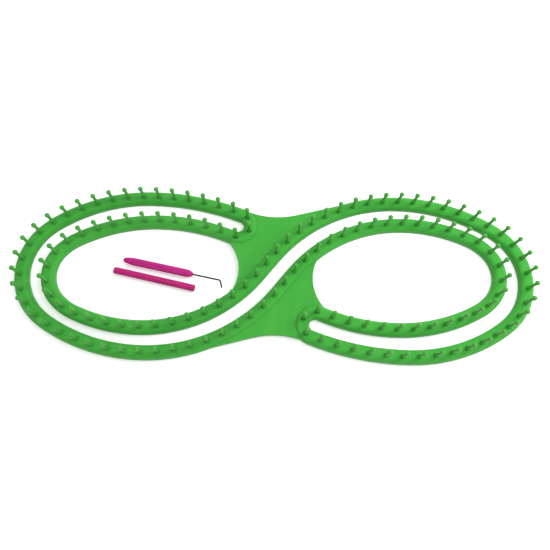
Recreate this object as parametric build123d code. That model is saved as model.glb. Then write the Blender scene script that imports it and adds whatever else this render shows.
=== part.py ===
from build123d import *
import math
import os
from collections import namedtuple

os.makedirs("parts", exist_ok=True)

# A flat S-shaped knitting loom.  A raised rail runs as one closed loop round both sides of
# a long S-shaped slot, and two rows of pegs stand on its crown.  The frame is the same
# after half a turn about Z, so only half of the rail is laid out and the rest is turned.
# Millimetres.  Origin at the middle of the slot, on the underside.  +X along the loom,
# +Y across it, +Z up the pegs.

# ---- loom frame -------------------------------------------------------------------
loom_length = 650.0
loom_width = 220.0
rail_width = 18.0
rail_height = 9.0
rail_shoulder = 6.0        # radius that turns the rail's upright side into its flat crown
wall = 2.0                 # wall of the moulding, hollow underneath

slot_end = 15.0            # slot width round the ends of the two lobes
slot_blind = 15.0          # slot width towards its closed ends
slot_far = 12.5            # slot width on the side that runs into the crossing
slot_stop = 49.0           # centre of each closed slot end, from the loom's middle

# Outer run of the rail in each lobe: a tight end, two shoulders, two long sides.
outer_end_inset = 26.0     # the end's radius is this much under the crest's distance from the axis
outer_shoulder_inset = 10.0
outer_end_half_angle = 43.0
outer_blind_crest = 153.0  # widest point on the closed-slot side, from the lobe's end
outer_far_crest = 159.0    # widest point on the crossing side
outer_blind_drop = 19.93   # fall from the crest to the closed slot end

# Inner run of the rail in each lobe, inside the slot.
inner_end_inset = 21.0
inner_shoulder_inset = -4.0
inner_end_half_angle = 43.0
inner_end_shift = 4.0      # the inner end sits this far towards the crossing side
inner_blind_crest = 132.0
inner_far_crest = 119.0
inner_blind_drop = 21.66

# Crossing: a short straight between a wide bend from the outer run and one into the inner.
cross_straight = 32.93
cross_radius_step = 23.0   # the bend from the outer run is this much wider

# Web: the lower plate that fills the waist on each side of the crossing.
web_top = 6.5
web_thickness = 2.5
waist_depth = 33.0         # the waist's edges are this far in from the loom's sides
waist_bite = 2.0           # how far the web's free edges run into a rail
loop_gap = 93.0            # across the waist, from one lobe's opening to the other's
loop_end_shift = 5.0
loop_top_reach = 15.6      # along X from the opening's tip to where its end arc enters a rail
loop_low_reach = 8.4

# ---- pegs ---------------------------------------------------------------------------
pegs_per_row = 69
pegs_per_group = 3
first_peg = 4.0            # along the rail from the start of the bend round a slot end
peg_height = 25.0          # above the rail's crown
peg_foot_radius = 2.3
peg_neck_radius = 1.8
knob_radius = 3.0
spigot_radius = 1.4
peg_fit = 0.0              # radial clearance of a pressed-in peg
seat_depth = 2.0           # the peg's foot stands this deep in the crown
boss_radius = 3.2
boss_floor = 1.5           # bosses and spigots stop short of the table by this much

# ---- hook tool ------------------------------------------------------------------------
hook_inset = 133.5         # from the loom's left end to the handle's butt
hook_aside = 15.3          # from the loom's mid-line to the handle's butt
hook_turn = -11.4
handle_length = 90.0
handle_radius = 5.0
handle_butt_radius = 3.2
handle_taper = 16.0        # length over which the handle swells from its butt
handle_nose = 9.0          # length over which it rounds in to its nose
handle_nose_radius = 2.0   # flat face that the wire comes out of
flute_count = 8
flute_radius = 0.9
flute_margin = 4.0         # plain length between the flutes and the nose
wire_radius = 1.0
wire_reach = 35.0
wire_hold = 18.0           # length of wire moulded into the handle
wire_bend = 3.0
wire_tip = 7.5
wire_tip_turn = -64.0
wire_fit = 0.0             # the handle is moulded on the wire

# ---- yarn guide tube --------------------------------------------------------------------
tube_inset = 123.5         # from the loom's left end to the tube's near end
tube_aside = 1.3
tube_turn = -12.1
tube_length = 103.5
tube_radius = 4.3
tube_bore_radius = 2.9
tube_edge = 0.4

Arc = namedtuple("Arc", "centre radius start sweep")
Run = namedtuple("Run", "start end")


# ---- plan geometry ---------------------------------------------------------------------
def polar(centre, radius, angle):
    turn = math.radians(angle)
    return (centre[0] + radius * math.cos(turn), centre[1] + radius * math.sin(turn))


def bearing(start, end):
    return math.degrees(math.atan2(end[1] - start[1], end[0] - start[0]))


def length_of(piece):
    if isinstance(piece, Run):
        return math.dist(piece.start, piece.end)
    return piece.radius * math.radians(abs(piece.sweep))


def place_on(piece, distance):
    share = distance / length_of(piece)
    if isinstance(piece, Run):
        return tuple(a + share * (b - a) for a, b in zip(piece.start, piece.end))
    return polar(piece.centre, piece.radius, piece.start + share * piece.sweep)


def half_turn(piece):
    if isinstance(piece, Run):
        return Run(*[(-x, -y) for x, y in piece])
    centre = (-piece.centre[0], -piece.centre[1])
    return Arc(centre, piece.radius, piece.start + 180.0, piece.sweep)


def backwards(piece):
    if isinstance(piece, Run):
        return Run(piece.end, piece.start)
    return Arc(piece.centre, piece.radius, piece.start + piece.sweep, -piece.sweep)


def edge_of(piece):
    if isinstance(piece, Run):
        return Line(piece.start, piece.end)
    whole = length_of(piece)
    return ThreePointArc(place_on(piece, 0), place_on(piece, whole / 2), place_on(piece, whole))


def side_arc(crest, shoulder_centre, shoulder_radius):
    """Centre and radius of the arc that is level at the crest and meets the shoulder smoothly."""
    dx = crest[0] - shoulder_centre[0]
    dy = abs(crest[1] - shoulder_centre[1])
    radius = (dx**2 + dy**2 - shoulder_radius**2) / (2 * (dy - shoulder_radius))
    return (crest[0], crest[1] - math.copysign(radius, crest[1])), radius


def sagging_radius(reach, drop):
    """Radius of an arc that falls by drop over reach from its level end."""
    return (reach**2 + drop**2) / (2 * drop)


def meeting_point(centre, radius, other_centre, other_radius, side):
    """Where two circles cross, left (+1) or right (-1) of the way from the first to the other."""
    span = math.dist(centre, other_centre)
    along = (span**2 + radius**2 - other_radius**2) / (2 * span)
    swing = math.degrees(math.acos(along / radius))
    return polar(centre, radius, bearing(centre, other_centre) + side * swing)


def circle_through(first, second, third):
    """Centre and radius of the circle through three points."""
    ax, ay = first[0] - third[0], first[1] - third[1]
    bx, by = second[0] - third[0], second[1] - third[1]
    a, b = (ax**2 + ay**2) / 2, (bx**2 + by**2) / 2
    cross = ax * by - bx * ay
    centre = (third[0] + (a * by - b * ay) / cross, third[1] + (b * ax - a * bx) / cross)
    return centre, math.dist(centre, third)


def lobe(end, end_radius, shoulder_radius, half_angle, top_crest, low_crest):
    """Five arcs round a lobe whose end faces -X, from its top crest to its low crest."""
    centre = (end[0] + end_radius, end[1])
    top_shoulder = polar(centre, shoulder_radius - end_radius, -half_angle)
    low_shoulder = polar(centre, shoulder_radius - end_radius, half_angle)
    top_centre, top_radius = side_arc(top_crest, top_shoulder, shoulder_radius)
    low_centre, low_radius = side_arc(low_crest, low_shoulder, shoulder_radius)
    top_join = bearing(top_centre, top_shoulder) % 360.0
    low_join = bearing(low_centre, low_shoulder) % 360.0
    return [
        Arc(top_centre, top_radius, 90.0, top_join - 90.0),
        Arc(top_shoulder, shoulder_radius, top_join, 180.0 - half_angle - top_join),
        Arc(centre, end_radius, 180.0 - half_angle, 2 * half_angle),
        Arc(low_shoulder, shoulder_radius, 180.0 + half_angle, low_join - 180.0 - half_angle),
        Arc(low_centre, low_radius, low_join, 270.0 - low_join),
    ]


def slot_end_bend(outer, outer_radius, inner, inner_radius):
    """Centre and radius of the bend that joins the inner run to the outer run at x = -slot_stop."""
    x = -slot_stop
    low, high = 0.0, loom_width
    while high - low > 1e-9:
        y = (low + high) / 2
        reach = math.dist((x, y), outer) + math.dist((x, y), inner)
        if reach > outer_radius + inner_radius:
            high = y
        else:
            low = y
    centre = (x, (low + high) / 2)
    return centre, outer_radius - math.dist(centre, outer)


# The rail's mid-line, half of it: round the left closed slot end, along the outer run of
# the left lobe, over the crossing and along the inner run of the right lobe.
reach_x = (loom_length - rail_width) / 2
reach_y = (loom_width - rail_width) / 2
inner_reach = reach_x - rail_width - slot_end
blind_y = reach_y - rail_width - slot_blind
far_y = reach_y - rail_width - slot_far

outer_top = (outer_blind_crest - reach_x, reach_y)
outer_low = (outer_far_crest - reach_x, -reach_y)
inner_top = (inner_blind_crest - inner_reach, blind_y)
inner_low = (inner_far_crest - inner_reach, -far_y)

outer_lobe = lobe((-reach_x, 0.0), reach_y - outer_end_inset, reach_y - outer_shoulder_inset,
                  outer_end_half_angle, outer_top, outer_low)
inner_lobe = lobe((-inner_reach, -inner_end_shift), blind_y - inner_end_inset,
                  blind_y - inner_shoulder_inset, inner_end_half_angle, inner_top, inner_low)

outer_blind_radius = sagging_radius(-slot_stop - outer_top[0], outer_blind_drop)
inner_blind_radius = sagging_radius(-slot_stop - inner_top[0], inner_blind_drop)
outer_centre = (outer_top[0], outer_top[1] - outer_blind_radius)
inner_centre = (inner_top[0], inner_top[1] - inner_blind_radius)
bend_centre, bend_radius = slot_end_bend(outer_centre, outer_blind_radius,
                                         inner_centre, inner_blind_radius)
bend_from = bearing(inner_centre, bend_centre)
bend_to = bearing(outer_centre, bend_centre)
slot_bend = Arc(bend_centre, bend_radius, bend_from - 180.0, bend_to - bend_from + 180.0)
outer_blind = Arc(outer_centre, outer_blind_radius, bend_to, 90.0 - bend_to)
inner_blind = Arc(inner_centre, inner_blind_radius, 90.0, bend_from - 90.0)

cross_run = -inner_low[0] - outer_low[0]
cross_climb = reach_y + far_y
cross_radii = (cross_run**2 + cross_climb**2 - cross_straight**2) / (2 * cross_climb)
outer_cross_radius = (cross_radii + cross_radius_step) / 2
inner_cross_radius = (cross_radii - cross_radius_step) / 2
cross_low = (outer_low[0], outer_low[1] + outer_cross_radius)
cross_high = (-inner_low[0], -inner_low[1] - inner_cross_radius)
cross_span = math.dist(cross_low, cross_high)
cross_lean = math.degrees(math.asin(cross_radii / cross_span))
cross_heading = bearing(cross_low, cross_high) + cross_lean
cross_rise = Arc(cross_low, outer_cross_radius, -90.0, cross_heading)
cross_fall = Arc(cross_high, inner_cross_radius, cross_heading + 90.0, -cross_heading)
crossing = Run(polar(cross_low, outer_cross_radius, cross_heading - 90.0),
               polar(cross_high, inner_cross_radius, cross_heading + 90.0))

# The end of the left lobe's opening: an arc through its tip that runs into the rail each side.
bite = rail_width / 2 - waist_bite
rise_centre = (-cross_high[0], -cross_high[1])
top_x = -loop_gap / 2 - loop_top_reach
low_x = -loop_gap / 2 - loop_low_reach
top_rise = math.sqrt((inner_blind_radius - bite)**2 - (top_x - inner_centre[0])**2)
low_fall = math.sqrt((inner_cross_radius - bite)**2 - (low_x - rise_centre[0])**2)
loop_centre, loop_end_radius = circle_through((top_x, inner_centre[1] + top_rise),
                                              (-loop_gap / 2, loop_end_shift),
                                              (low_x, rise_centre[1] - low_fall))

half_rail = [slot_bend, outer_blind, *outer_lobe, cross_rise, crossing, cross_fall]
half_rail += [backwards(half_turn(piece)) for piece in reversed(inner_lobe)]
half_rail += [half_turn(inner_blind)]
whole_rail = half_rail + [half_turn(piece) for piece in half_rail]


# ---- loom frame -------------------------------------------------------------------------
def rail_curve(skin):
    """The rail's sides, shoulders and crown, moved inwards by skin: left foot to right foot."""
    side = rail_width / 2 - skin
    shoulder = rail_shoulder - skin
    flat = rail_width / 2 - rail_shoulder
    springing = rail_height - rail_shoulder
    crown = rail_height - skin
    return [
        Run((-side, 0.0), (-side, springing)),
        Arc((-flat, springing), shoulder, 180.0, -90.0),
        Run((-flat, crown), (flat, crown)),
        Arc((flat, springing), shoulder, 90.0, -90.0),
        Run((side, springing), (side, 0.0)),
    ]


def along_rail(curves):
    """The rail's section carried once round the whole loop: turned on bends, pushed on the straight."""
    section = make_face([edge_of(piece) for piece in curves])
    stretches = []
    for piece in whole_rail:
        start = place_on(piece, 0.0)
        if isinstance(piece, Run):
            heading = bearing(piece.start, piece.end)
            upright = Plane(origin=start, x_dir=polar((0, 0), 1.0, heading + 90.0),
                            z_dir=polar((0, 0), 1.0, heading))
            stretches.append(extrude(upright * section, length_of(piece)))
        else:
            outwards = polar((0, 0), 1.0, piece.start)
            forwards = polar((0, 0), 1.0, piece.start - 90.0)
            upright = Plane(origin=start, x_dir=outwards, z_dir=forwards)
            post = Axis(piece.centre, (0, 0, math.copysign(1.0, piece.sweep)))
            stretches.append(revolve(upright * section, post, abs(piece.sweep)))
    return stretches[0] + stretches[1:]


def web_outline(inset):
    """One web in plan, with its free edges moved in by inset.  Its other edges lie inside rails."""
    bend_edge = bend_radius + bite
    waist_y = loom_width / 2 - waist_depth
    bend_rise = waist_y - bend_centre[1]
    waist_radius = ((bend_centre[0]**2 + bend_rise**2 - bend_edge**2)
                    / (2 * (bend_edge - bend_rise)))
    waist_centre = (0.0, waist_y + waist_radius)
    waist = waist_radius + inset
    lobe_centre = (-cross_low[0], -cross_low[1])
    lobe_edge = outer_cross_radius + bite - inset
    span = math.dist(waist_centre, lobe_centre)
    lean = math.degrees(math.acos((waist + lobe_edge) / span))
    leave = bearing(lobe_centre, waist_centre) - lean
    on_lobe = polar(lobe_centre, lobe_edge, leave)
    on_waist = polar(waist_centre, waist, leave + 180.0)
    waist_start = leave - 180.0
    waist_stop = bearing(waist_centre, bend_centre)
    waist_arc = Arc(waist_centre, waist, waist_start, waist_stop - waist_start)
    bend_start = waist_stop + 180.0
    bend_arc = Arc(bend_centre, bend_radius, bend_start, slot_bend.start - bend_start)

    loop_edge = loop_end_radius + inset
    loop_top = meeting_point(loop_centre, loop_edge, inner_centre, inner_blind_radius - bite, 1)
    loop_low = meeting_point(loop_centre, loop_edge, rise_centre, inner_cross_radius - bite, -1)
    loop_start = bearing(loop_centre, loop_top)
    loop_end = Arc(loop_centre, loop_edge, loop_start, bearing(loop_centre, loop_low) - loop_start)
    blind_stop = bearing(inner_centre, loop_top)
    blind_arc = Arc(inner_centre, inner_blind_radius, bend_from, blind_stop - bend_from)
    rise_start = bearing(rise_centre, loop_low)
    rise_arc = Arc(rise_centre, inner_cross_radius, rise_start, cross_heading - 90.0 - rise_start)
    fall_arc = Arc(lobe_centre, outer_cross_radius, cross_heading + 90.0,
                   leave - cross_heading - 90.0)
    straight = backwards(half_turn(crossing))

    arcs = [waist_arc, bend_arc, blind_arc, loop_end, rise_arc, straight, fall_arc]
    edges = []
    for piece, following in zip(arcs, arcs[1:] + [None]):
        edges.append(piece)
        stop = place_on(piece, length_of(piece))
        start = place_on(following, 0.0) if following else on_lobe
        if math.dist(stop, start) > 1e-6:
            edges.append(Run(stop, start))
    edges.append(Run(on_lobe, on_waist))
    return make_face([edge_of(piece) for piece in edges])


def make_web(solid_rail):
    plate = extrude(web_outline(0.0), web_top)
    hollow = extrude(web_outline(wall), web_top - web_thickness)
    return plate - hollow - solid_rail


def peg_places():
    """Plan position of each peg of the first row, at an even pitch along half of the rail."""
    pitch = sum(length_of(piece) for piece in half_rail) / pegs_per_row
    places = []
    walked = 0.0
    for piece in half_rail:
        while len(places) < pegs_per_row:
            along = first_peg + len(places) * pitch - walked
            if along > length_of(piece):
                break
            places.append(place_on(piece, along))
        walked += length_of(piece)
    return places


def make_frame(places):
    skin = rail_curve(wall)
    hollow_rail = rail_curve(0.0)
    hollow_rail.append(Run((rail_width / 2, 0.0), (rail_width / 2 - wall, 0.0)))
    hollow_rail += [backwards(piece) for piece in reversed(skin)]
    hollow_rail.append(Run((wall - rail_width / 2, 0.0), (-rail_width / 2, 0.0)))
    filled_rail = rail_curve(0.0) + [Run((rail_width / 2, 0.0), (-rail_width / 2, 0.0))]
    web = make_web(along_rail(filled_rail))
    frame = along_rail(hollow_rail) + [web, web.rotate(Axis.Z, 180)]

    boss = extrude(Circle(boss_radius), rail_height - wall / 2 - boss_floor)
    seat = extrude(Circle(peg_foot_radius + peg_fit), 2 * seat_depth)
    bore = extrude(Circle(spigot_radius + peg_fit), rail_height)
    everywhere = places + [(-x, -y) for x, y in places]
    frame += [Pos(x, y, boss_floor) * boss for x, y in everywhere]
    frame -= [Pos(x, y, rail_height - seat_depth) * seat for x, y in everywhere]
    frame -= [Pos(x, y, 0) * bore for x, y in everywhere]
    return frame


# ---- pegs ---------------------------------------------------------------------------------
def make_peg():
    """A pressed-in peg: spigot, foot, tapered shank and a ball knob."""
    seat = rail_height - seat_depth
    knob = rail_height + peg_height - knob_radius
    neck = knob - math.sqrt(knob_radius**2 - peg_neck_radius**2)
    profile = [
        Line((0, boss_floor), (spigot_radius, boss_floor)),
        Line((spigot_radius, boss_floor), (spigot_radius, seat)),
        Line((spigot_radius, seat), (peg_foot_radius, seat)),
        Line((peg_foot_radius, seat), (peg_foot_radius, rail_height)),
        Line((peg_foot_radius, rail_height), (peg_neck_radius, neck)),
        ThreePointArc((peg_neck_radius, neck), (knob_radius, knob), (0, knob + knob_radius)),
        Line((0, knob + knob_radius), (0, boss_floor)),
    ]
    return revolve(Plane.XZ * make_face(profile), Axis.Z)


# ---- hook tool ------------------------------------------------------------------------------
def place_hook():
    return Pos(hook_inset - loom_length / 2, hook_aside, handle_radius) * Rot(0, 0, hook_turn)


def make_handle():
    """Fluted grip along +X with a round butt, a swelling taper and a rounded-in nose."""
    nose = handle_length - handle_nose
    drop = handle_radius - handle_nose_radius
    nose_curve = (handle_nose**2 + drop**2) / (2 * drop)
    profile = [
        Line((0, 0), (handle_length, 0)),
        Line((handle_length, 0), (handle_length, handle_nose_radius)),
        RadiusArc((handle_length, handle_nose_radius), (nose, handle_radius), -nose_curve),
        Line((nose, handle_radius), (handle_taper, handle_radius)),
        Line((handle_taper, handle_radius), (handle_butt_radius, handle_butt_radius)),
        RadiusArc((handle_butt_radius, handle_butt_radius), (0, 0), -handle_butt_radius),
    ]
    grip = revolve(make_face(profile), Axis.X)
    groove_length = nose - handle_taper - flute_margin
    groove = Pos(handle_taper, 0, 0) * Rot(0, 90, 0) * extrude(Circle(flute_radius), groove_length)
    for index in range(flute_count):
        turn = Rot(360 * index / flute_count, 0, 0)
        grip -= turn * Pos(0, 0, handle_radius + flute_radius / 2) * groove
    core = Rot(0, 90, 0) * extrude(Circle(wire_radius + wire_fit), wire_hold)
    return grip - Pos(handle_length - wire_hold, 0, 0) * core


def make_wire():
    """Round wire along +X out of the handle, with a short tip bent aside."""
    start = handle_length - wire_hold
    corner = handle_length + wire_reach
    turn = abs(wire_tip_turn)
    setback = wire_bend * math.tan(math.radians(turn / 2))
    bend_middle = (corner - setback, -wire_bend)
    bend = Arc(bend_middle, wire_bend, 90.0, -turn)
    tip_start = place_on(bend, length_of(bend))
    tip_end = polar(tip_start, wire_tip, wire_tip_turn)
    route = [Run((start, 0), (corner - setback, 0)), bend, Run(tip_start, tip_end)]
    section = Plane(origin=(start, 0, 0), z_dir=(1, 0, 0)) * Circle(wire_radius)
    wire = sweep(section, path=Wire([edge_of(piece).edge() for piece in route]))
    return wire + Pos(*tip_end, 0) * Sphere(wire_radius)


# ---- yarn guide tube ----------------------------------------------------------------------------
def make_tube():
    bore = Circle(tube_bore_radius)
    tube = extrude(Circle(tube_radius) - bore, tube_length)
    rims = tube.edges().filter_by(GeomType.CIRCLE)
    tube = chamfer(rims, tube_edge)
    place = Pos(tube_inset - loom_length / 2, tube_aside, tube_radius)
    return place * Rot(0, 0, tube_turn) * Rot(0, 90, 0) * tube


# ---- build every piece ----------------------------------------------------------------------------
def save(shape, name):
    export_step(shape, f"parts/{name}.step")


def save_pegs(row, places):
    peg = make_peg()
    for group in range(0, len(places), pegs_per_group):
        chosen = places[group:group + pegs_per_group]
        pegs = Compound([Pos(x, y, 0) * peg for x, y in chosen])
        save(pegs, f"pegs_{row}_{group // pegs_per_group + 1:02d}")


row_a = peg_places()
row_b = [(-x, -y) for x, y in row_a]
save(make_frame(row_a), "loom_frame")
save_pegs("row_a", row_a)
save_pegs("row_b", row_b)
save(place_hook() * make_handle(), "hook_handle")
save(place_hook() * make_wire(), "hook_wire")
save(make_tube(), "yarn_guide_tube")
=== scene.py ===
import math

import bpy
import numpy as np
from mathutils import Matrix, Vector


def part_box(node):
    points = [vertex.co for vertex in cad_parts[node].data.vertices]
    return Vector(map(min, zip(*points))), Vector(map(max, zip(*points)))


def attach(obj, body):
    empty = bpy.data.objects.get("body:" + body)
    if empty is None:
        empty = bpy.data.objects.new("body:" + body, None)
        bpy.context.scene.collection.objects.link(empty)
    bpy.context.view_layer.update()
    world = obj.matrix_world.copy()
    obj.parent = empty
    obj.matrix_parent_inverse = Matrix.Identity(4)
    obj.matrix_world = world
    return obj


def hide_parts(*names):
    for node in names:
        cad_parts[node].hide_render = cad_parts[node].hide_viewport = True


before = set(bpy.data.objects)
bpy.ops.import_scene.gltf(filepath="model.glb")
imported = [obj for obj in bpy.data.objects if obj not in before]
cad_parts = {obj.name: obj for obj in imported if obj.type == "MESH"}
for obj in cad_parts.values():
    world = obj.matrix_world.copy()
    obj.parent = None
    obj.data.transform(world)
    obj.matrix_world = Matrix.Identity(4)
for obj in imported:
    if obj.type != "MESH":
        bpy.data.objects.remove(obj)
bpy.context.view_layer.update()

MM = 0.001
PEG_NODES = [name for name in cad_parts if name.startswith("pegs_")]


# ---- camera ---------------------------------------------------------------------------
CAMERA_PLACE = Vector((-0.0113, -0.1932, 0.6112))
CAMERA_DOWN = math.radians(72.31)      # how far the view looks below level
CAMERA_RIGHT = math.radians(2.05)      # how far it looks to the right of +Y
CAMERA_ROLL = math.radians(3.11)
CAMERA_SENSOR = 36.0
CAMERA_LENS = 33.25
CAMERA_SHIFT = (0.0053, -0.0017)


def make_camera():
    data = bpy.data.cameras.new("camera")
    camera = bpy.data.objects.new("camera", data)
    bpy.context.collection.objects.link(camera)
    level = math.cos(CAMERA_DOWN)
    ahead = Vector((math.sin(CAMERA_RIGHT) * level, math.cos(CAMERA_RIGHT) * level,
                    -math.sin(CAMERA_DOWN)))
    side = Vector((math.cos(CAMERA_RIGHT), -math.sin(CAMERA_RIGHT), 0.0))
    up = side.cross(ahead)
    right = side * math.cos(CAMERA_ROLL) + up * math.sin(CAMERA_ROLL)
    up = right.cross(ahead)
    turn = Matrix((right, up, -ahead)).transposed().to_4x4()
    camera.matrix_world = Matrix.Translation(CAMERA_PLACE) @ turn
    data.sensor_width = CAMERA_SENSOR
    data.lens = CAMERA_LENS
    data.shift_x, data.shift_y = CAMERA_SHIFT
    data.clip_start = 0.01
    bpy.context.scene.camera = camera


# ---- materials --------------------------------------------------------------------------
# Sizes of the noise in the materials, in waves a metre.
CLOUD_SCALE = 11.0
FLOW_SCALE = 70.0
WAVE_SCALE = 75.0
SKIN_SCALE = 120.0
TOOTH_SCALE = 400.0
DRAWN_SCALE = 700.0
GRAIN_SCALE = 2400.0


class Shader:
    """A new material with its Principled shader, and short ways to add nodes to it."""

    def __init__(self, name):
        self.material = bpy.data.materials.new(name)
        self.material.use_nodes = True
        self.tree = self.material.node_tree
        self.surface = self.tree.nodes["Principled BSDF"]

    def set(self, **values):
        for name, value in values.items():
            self.surface.inputs[name.replace("_", " ")].default_value = value

    def add(self, kind, **settings):
        node = self.tree.nodes.new(kind)
        for name, value in settings.items():
            setattr(node, name, value)
        return node

    def link(self, output, target):
        self.tree.links.new(output, target)

    def noise(self, scale, detail=3.0, stretch=(1.0, 1.0, 1.0), turn=0.0):
        where = self.add("ShaderNodeTexCoord")
        mapping = self.add("ShaderNodeMapping")
        mapping.inputs["Scale"].default_value = stretch
        mapping.inputs["Rotation"].default_value = (0.0, 0.0, turn)
        noise = self.add("ShaderNodeTexNoise")
        noise.inputs["Scale"].default_value = scale
        noise.inputs["Detail"].default_value = detail
        self.link(where.outputs["Object"], mapping.inputs["Vector"])
        self.link(mapping.outputs["Vector"], noise.inputs["Vector"])
        return noise.outputs["Fac"]

    def span(self, value, low, high, start=0.3, end=0.7):
        spread = self.add("ShaderNodeMapRange")
        spread.inputs["From Min"].default_value = start
        spread.inputs["From Max"].default_value = end
        spread.inputs["To Min"].default_value = low
        spread.inputs["To Max"].default_value = high
        self.link(value, spread.inputs["Value"])
        return spread.outputs["Result"]

    def mix(self, factor, first, second):
        mix = self.add("ShaderNodeMix", data_type="RGBA")
        for socket, colour in (("A", first), ("B", second)):
            if isinstance(colour, tuple):
                mix.inputs[socket].default_value = (*colour, 1.0)
            else:
                self.link(colour, mix.inputs[socket])
        self.link(factor, mix.inputs["Factor"])
        return mix.outputs["Result"]

    def bump(self, height, strength, distance, under=None):
        bump = self.add("ShaderNodeBump")
        bump.inputs["Strength"].default_value = strength
        bump.inputs["Distance"].default_value = distance
        self.link(height, bump.inputs["Height"])
        if under is not None:
            self.link(under, bump.inputs["Normal"])
        return bump.outputs["Normal"]

    def painted_crease_shade(self, distance):
        """Mask for painted shade, from ambient occlusion: 1 in corners and creases, 0 in the open.
        """
        shade = self.add("ShaderNodeAmbientOcclusion", samples=8)
        shade.inputs["Distance"].default_value = distance
        return self.span(shade.outputs["AO"], 1.0, 0.0, 0.35, 0.95)

    def rounded(self, radius):
        edge = self.add("ShaderNodeBevel", samples=6)
        edge.inputs["Radius"].default_value = radius
        return edge.outputs["Normal"]


def moulded_plastic(name, tones, roughness, corner=3.0 * MM, edge=0.0, turn=0.0):
    """Injection-moulded plastic: cloudy colour, faint flow marks, painted shade in creases, satin
    skin.
    """
    colour, pale, deep, shade_tone = tones
    shader = Shader(name)
    shader.set(Specular_IOR_Level=0.30, IOR=1.48, Subsurface_Weight=0.05, Subsurface_Scale=0.003)
    cloud = shader.span(shader.noise(CLOUD_SCALE, 4.0), 0.0, 1.0)
    flow = shader.span(shader.noise(FLOW_SCALE, 3.0, (1.0, 0.3, 1.0), turn), 0.0, 0.45, 0.4, 0.8)
    tint = shader.mix(flow, shader.mix(cloud, colour, pale), deep)
    # Painted shade: the colour darkens towards the last tone in corners and creases, by ambient
    # occlusion.
    tint = shader.mix(shader.painted_crease_shade(corner), tint, shade_tone)
    shader.link(tint, shader.surface.inputs["Base Color"])
    skin = shader.span(shader.noise(SKIN_SCALE, 4.0), *roughness)
    shader.link(skin, shader.surface.inputs["Roughness"])
    under = shader.rounded(edge) if edge else None
    waviness = shader.bump(shader.noise(WAVE_SCALE, 2.0), 0.14, 0.5 * MM, under)
    grain = shader.bump(shader.noise(GRAIN_SCALE, 2.0), 0.14, 0.05 * MM, waviness)
    shader.link(grain, shader.surface.inputs["Normal"])
    return shader.material


def drawn_steel(name):
    """Dark drawn wire: fine lines along it, brighter where they are rubbed."""
    shader = Shader(name)
    shader.set(Metallic=0.35, Specular_IOR_Level=0.25)
    lines = shader.noise(DRAWN_SCALE, 3.0, (0.06, 1.0, 1.0), HOOK_HEADING)
    shader.link(shader.mix(lines, (0.008, 0.007, 0.008), (0.035, 0.032, 0.032)),
                shader.surface.inputs["Base Color"])
    shader.link(shader.span(lines, 0.30, 0.52), shader.surface.inputs["Roughness"])
    shader.link(shader.bump(lines, 0.2, 0.03 * MM), shader.surface.inputs["Normal"])
    return shader.material


def floor_paper():
    """White studio paper with a very faint tooth."""
    shader = Shader("floor_paper")
    tooth = shader.noise(TOOTH_SCALE, 3.0)
    shader.link(shader.mix(tooth, (0.92, 0.92, 0.92), (0.95, 0.95, 0.95)),
                shader.surface.inputs["Base Color"])
    shader.set(Roughness=0.95, Specular_IOR_Level=0.1, Emission_Strength=0.30,
               Emission_Color=(1.0, 1.0, 1.0, 1.0))
    return shader.material


# Each plastic: its colour, a paler cloud, a deeper flow mark, and the painted shade in its creases.
LOOM_TONES = (
    (0.044, 0.375, 0.036),
    (0.062, 0.415, 0.046),
    (0.027, 0.31, 0.034),
    (0.006, 0.09, 0.018),
)
PEG_TONES = (
    (0.050, 0.350, 0.038),
    (0.085, 0.385, 0.052),
    (0.030, 0.26, 0.028),
    (0.008, 0.10, 0.016),
)
HANDLE_TONES = (
    (0.46, 0.008, 0.185),
    (0.55, 0.018, 0.24),
    (0.32, 0.005, 0.20),
    (0.10, 0.002, 0.05),
)
TUBE_TONES = (
    (0.46, 0.006, 0.15),
    (0.56, 0.012, 0.20),
    (0.28, 0.004, 0.07),
    (0.08, 0.002, 0.018),
)


def give(piece, material):
    piece.data.materials.clear()
    piece.data.materials.append(material)
    return piece


# ---- mesh helpers ---------------------------------------------------------------------------
def cad_points(name):
    """A CAD node's points at rest, one row each."""
    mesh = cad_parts[name].data
    points = np.empty(3 * len(mesh.vertices))
    mesh.vertices.foreach_get("co", points)
    return points.reshape(-1, 3)


def bar_axis(name):
    """Start, heading and length of a round bar that lies level, and its radius."""
    low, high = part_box(name)
    points = cad_points(name)
    plan = points[:, :2]
    spread = np.linalg.svd(plan - plan.mean(axis=0), full_matrices=False)[2][0]
    ahead = spread * np.sign(spread[0])
    across = np.array((-ahead[1], ahead[0]))
    along = plan @ ahead
    sideways = plan @ across
    start = ahead * along.min() + across * (sideways.min() + sideways.max()) / 2
    place = Vector((start[0], start[1], (low[2] + high[2]) / 2))
    return place, math.atan2(ahead[1], ahead[0]), along.max() - along.min(), (high[2] - low[2]) / 2


def lathe(rings, segments, shape=None):
    """Points and faces of a round form along +X; shape(x, radius, angle) may change a radius."""
    points = []
    for x, radius in rings:
        for step in range(segments):
            angle = 2 * math.pi * step / segments
            reach = shape(x, radius, angle) if shape else radius
            points.append((x, reach * math.cos(angle), reach * math.sin(angle)))
    faces = []
    for ring in range(len(rings) - 1):
        for step in range(segments):
            following = (step + 1) % segments
            a, b = ring * segments + step, ring * segments + following
            faces.append((a, b, b + segments, a + segments))
    return points, faces


def add_mesh(name, points, faces):
    mesh = bpy.data.meshes.new(name)
    mesh.from_pydata(points, [], faces)
    mesh.update()
    for face in mesh.polygons:
        face.use_smooth = True
    piece = bpy.data.objects.new(name, mesh)
    bpy.context.collection.objects.link(piece)
    return piece


def smoothstep(value):
    value = min(max(value, 0.0), 1.0)
    return value * value * (3 - 2 * value)


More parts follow.
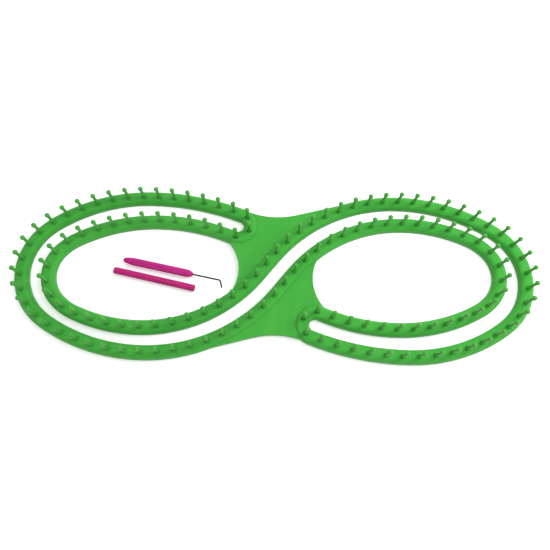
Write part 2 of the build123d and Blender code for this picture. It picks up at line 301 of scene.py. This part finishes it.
# ---- hook tool's grip -------------------------------------------------------------------------
HOOK_START, HOOK_HEADING, HANDLE_LENGTH, HANDLE_RADIUS = bar_axis("hook_handle")
BUTT_RADIUS = 0.64 * HANDLE_RADIUS
TAPER_LENGTH = 16.0 * MM
NOSE_LENGTH = 9.0 * MM
NOSE_RADIUS = 0.4 * HANDLE_RADIUS
NOSE_HOLE = 1.05 * MM          # just clears the wire
FLUTES = 8
FLUTE_DEPTH = 0.55 * MM
FLUTE_FADE = 7.0 * MM          # each flute runs out over this length
GRIP_SIDES = 96
HOLE_DEPTH = 1.5 * MM


def grip_radius(x):
    """Radius of the plain grip at x from its butt."""
    if x < BUTT_RADIUS:
        return math.sqrt(max(BUTT_RADIUS**2 - (BUTT_RADIUS - x)**2, 0.0))
    if x < TAPER_LENGTH:
        share = (x - BUTT_RADIUS) / (TAPER_LENGTH - BUTT_RADIUS)
        return BUTT_RADIUS + (HANDLE_RADIUS - BUTT_RADIUS) * math.sin(share * math.pi / 2)
    nose = HANDLE_LENGTH - NOSE_LENGTH
    if x < nose:
        return HANDLE_RADIUS
    drop = HANDLE_RADIUS - NOSE_RADIUS
    curve = (NOSE_LENGTH**2 + drop**2) / (2 * drop)
    return HANDLE_RADIUS - curve + math.sqrt(curve**2 - (x - nose)**2)


def fluted(x, radius, angle):
    """Shallow round flutes between narrow lands, fading out towards both ends."""
    fade_in = smoothstep((x - 0.6 * TAPER_LENGTH) / FLUTE_FADE)
    fade_out = smoothstep((HANDLE_LENGTH - 0.5 * NOSE_LENGTH - x) / FLUTE_FADE)
    hollow = abs(math.sin(FLUTES * angle / 2)) ** 1.5
    return radius - FLUTE_DEPTH * hollow * fade_in * fade_out


def make_grip():
    butt = [BUTT_RADIUS * (1 - math.cos(math.radians(turn))) for turn in range(6, 90, 7)]
    middle = np.linspace(BUTT_RADIUS, HANDLE_LENGTH - NOSE_LENGTH, 46)
    nose = np.linspace(HANDLE_LENGTH - NOSE_LENGTH, HANDLE_LENGTH, 14)[1:]
    stations = [*butt, *middle, *nose]
    rings = [(0.0, 0.02 * MM)] + [(x, grip_radius(x)) for x in stations]
    rings += [(HANDLE_LENGTH, 0.5 * (NOSE_RADIUS + NOSE_HOLE)), (HANDLE_LENGTH, NOSE_HOLE)]
    rings += [(HANDLE_LENGTH - HOLE_DEPTH, NOSE_HOLE)]
    grip = add_mesh("hook_grip", *lathe(rings, GRIP_SIDES, fluted))
    grip.matrix_world = Matrix.Translation(HOOK_START) @ Matrix.Rotation(HOOK_HEADING, 4, "Z")
    give(grip, moulded_plastic("handle_plastic", HANDLE_TONES, (0.22, 0.36), 1.2 * MM,
                               turn=-HOOK_HEADING))
    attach(grip, "hook")
    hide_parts("hook_handle")


# ---- fillets where the pegs rise from the rail ---------------------------------------------------
COLLAR_FLARE = 0.7 * MM
COLLAR_RISE = 1.0 * MM
COLLAR_SINK = 0.08 * MM
KNOB_TOP_DEPTH = 0.02 * MM     # mesh points this near a node's top are the tops of its knobs
PEG_FOOT_RADIUS = 2.3 * MM
COLLAR_SIDES = 28
RAIL_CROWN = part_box("loom_frame")[1][2]


def peg_places():
    """Plan position of every peg: the top of each knob in the peg nodes."""
    places = set()
    for name in PEG_NODES:
        points = cad_points(name)
        tops = points[points[:, 2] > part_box(name)[1][2] - KNOB_TOP_DEPTH]
        places |= {(round(x, 4), round(y, 4)) for x, y in tops[:, :2]}
    return sorted(places)


def make_collars(plastic):
    """One quarter-round fillet about the foot of each peg."""
    profile = []
    for turn in range(0, 91, 18):
        angle = math.radians(turn)
        profile.append((COLLAR_RISE * (1 - math.sin(angle)),
                        PEG_FOOT_RADIUS + COLLAR_FLARE * (1 - math.cos(angle))))
    rings = [(RAIL_CROWN + rise, reach) for rise, reach in profile]
    rings.append((RAIL_CROWN - COLLAR_SINK, PEG_FOOT_RADIUS + COLLAR_FLARE))
    shape, quads = lathe(rings, COLLAR_SIDES)
    points = []
    faces = []
    for x, y in peg_places():
        first = len(points)
        points += [(x + across, y + aside, up) for up, across, aside in shape]
        faces += [tuple(first + corner for corner in quad) for quad in quads]
    collars = add_mesh("peg_fillets", points, faces)
    give(collars, plastic)
    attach(collars, "loom")


# ---- stage and light -----------------------------------------------------------------------
FLOOR_REACH = 40.0
ROOM_LEFT = 0.60               # strength of the white room's light from the left, and the right
ROOM_RIGHT = 0.96
# Each lamp: its name, place, width, watts, what it points at, and if reflections show it.
LAMPS = (
    ("key", (0.66, 0.28, 0.76), 0.5, 6.5, (0.1, 0.0, 0.0), False),
    ("glint", (-0.26, 0.22, 0.75), 0.16, 0.3, (-0.12, 0.0, 0.0), True),
)


def make_floor():
    mesh = bpy.data.meshes.new("floor")
    signs = ((-1, -1), (1, -1), (1, 1), (-1, 1))
    corners = [(x * FLOOR_REACH, y * FLOOR_REACH, 0) for x, y in signs]
    mesh.from_pydata(corners, [], [(0, 1, 2, 3)])
    floor = bpy.data.objects.new("floor", mesh)
    bpy.context.collection.objects.link(floor)
    give(floor, floor_paper())
    floor.visible_diffuse = False


def add_light(name, place, size, power, target, glossy):
    data = bpy.data.lights.new(name, "AREA")
    data.size = size
    data.energy = power
    light = bpy.data.objects.new(name, data)
    light.location = place
    light.rotation_euler = (Vector(target) - Vector(place)).to_track_quat("-Z", "Y").to_euler()
    light.visible_camera = False
    light.visible_glossy = glossy
    bpy.context.collection.objects.link(light)


def make_light():
    """A white room, brighter on the right, with a soft lamp and a small one for glints."""
    world = bpy.data.worlds.new("studio")
    world.use_nodes = True
    tree = world.node_tree
    where = tree.nodes.new("ShaderNodeTexCoord")
    parts = tree.nodes.new("ShaderNodeSeparateXYZ")
    aside = tree.nodes.new("ShaderNodeMapRange")
    aside.inputs["From Min"].default_value = -1.0
    aside.inputs["From Max"].default_value = 1.0
    aside.inputs["To Min"].default_value = ROOM_LEFT
    aside.inputs["To Max"].default_value = ROOM_RIGHT
    tree.links.new(where.outputs["Generated"], parts.inputs[0])
    tree.links.new(parts.outputs["X"], aside.inputs["Value"])
    tree.links.new(aside.outputs["Result"], tree.nodes["Background"].inputs["Strength"])
    tree.nodes["Background"].inputs["Color"].default_value = (1.0, 1.0, 1.0, 1.0)
    bpy.context.scene.world = world
    for lamp in LAMPS:
        add_light(*lamp)
    bpy.context.scene.view_settings.view_transform = "Standard"


def paint_cad():
    green = moulded_plastic("loom_plastic", LOOM_TONES, (0.34, 0.48), edge=0.8 * MM)
    peg = moulded_plastic("peg_plastic", PEG_TONES, (0.26, 0.40), 2.0 * MM)
    tube = moulded_plastic("tube_plastic", TUBE_TONES, (0.12, 0.22), 1.5 * MM)
    give(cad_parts["loom_frame"], green)
    for name in PEG_NODES:
        give(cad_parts[name], peg)
    give(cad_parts["hook_wire"], drawn_steel("hook_steel"))
    give(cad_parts["yarn_guide_tube"], tube)
    make_collars(green)


make_camera()
make_floor()
make_light()
paint_cad()
make_grip()
